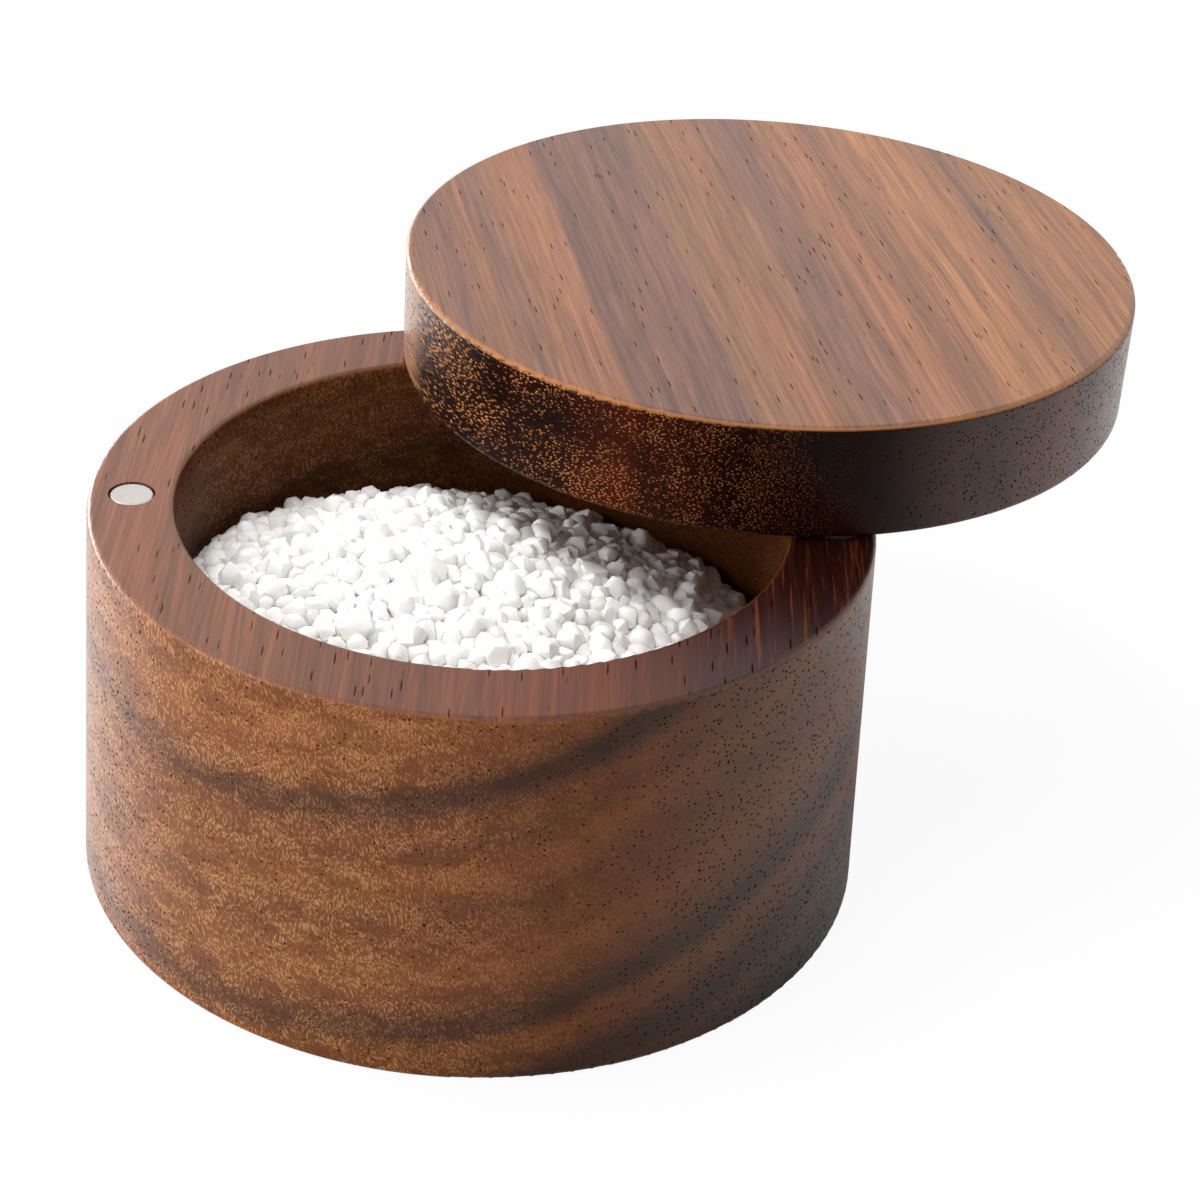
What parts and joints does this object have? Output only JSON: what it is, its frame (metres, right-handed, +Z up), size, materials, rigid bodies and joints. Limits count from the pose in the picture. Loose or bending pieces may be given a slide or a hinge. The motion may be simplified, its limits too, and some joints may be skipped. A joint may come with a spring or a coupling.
{
  "type": "salt box",
  "caption": "Round turned-wood salt box with a flat lid that swivels sideways on a pin in the wall and is held shut by a magnet pair.",
  "frame": {"origin": "centre of the box's flat underside", "axes": "+Z up, +X from the box's centre towards the pivot pin, +Y towards the back, where the lid is swung"},
  "size_m": [0.1232, 0.1295, 0.0605],
  "materials": {
    "box_wood": "oiled, satin",
    "lid_wood": "oiled, satin",
    "steel": "ground",
    "brass": "turned",
    "nylon": "moulded",
    "nickel": "satin nickel plate",
    "salt": "coarse crystals"
  },
  "bodies": {
    "box": {"box_body": "box_wood", "pivot_pin": "steel", "pivot_washer": "nylon", "rim_magnet": "nickel", "salt_heap": "salt"},
    "swivel_lid": {"lid": "lid_wood", "pivot_bush": "brass", "lid_magnet": "nickel"}
  },
  "joints": [
    {"name": "lid_swivel", "type": "hinge", "parent": "box", "child": "swivel_lid", "pos_m": [0.03963, 0, 0.04645], "axis": [0, 0, 1], "range_deg": [-280, 80]}
  ]
}
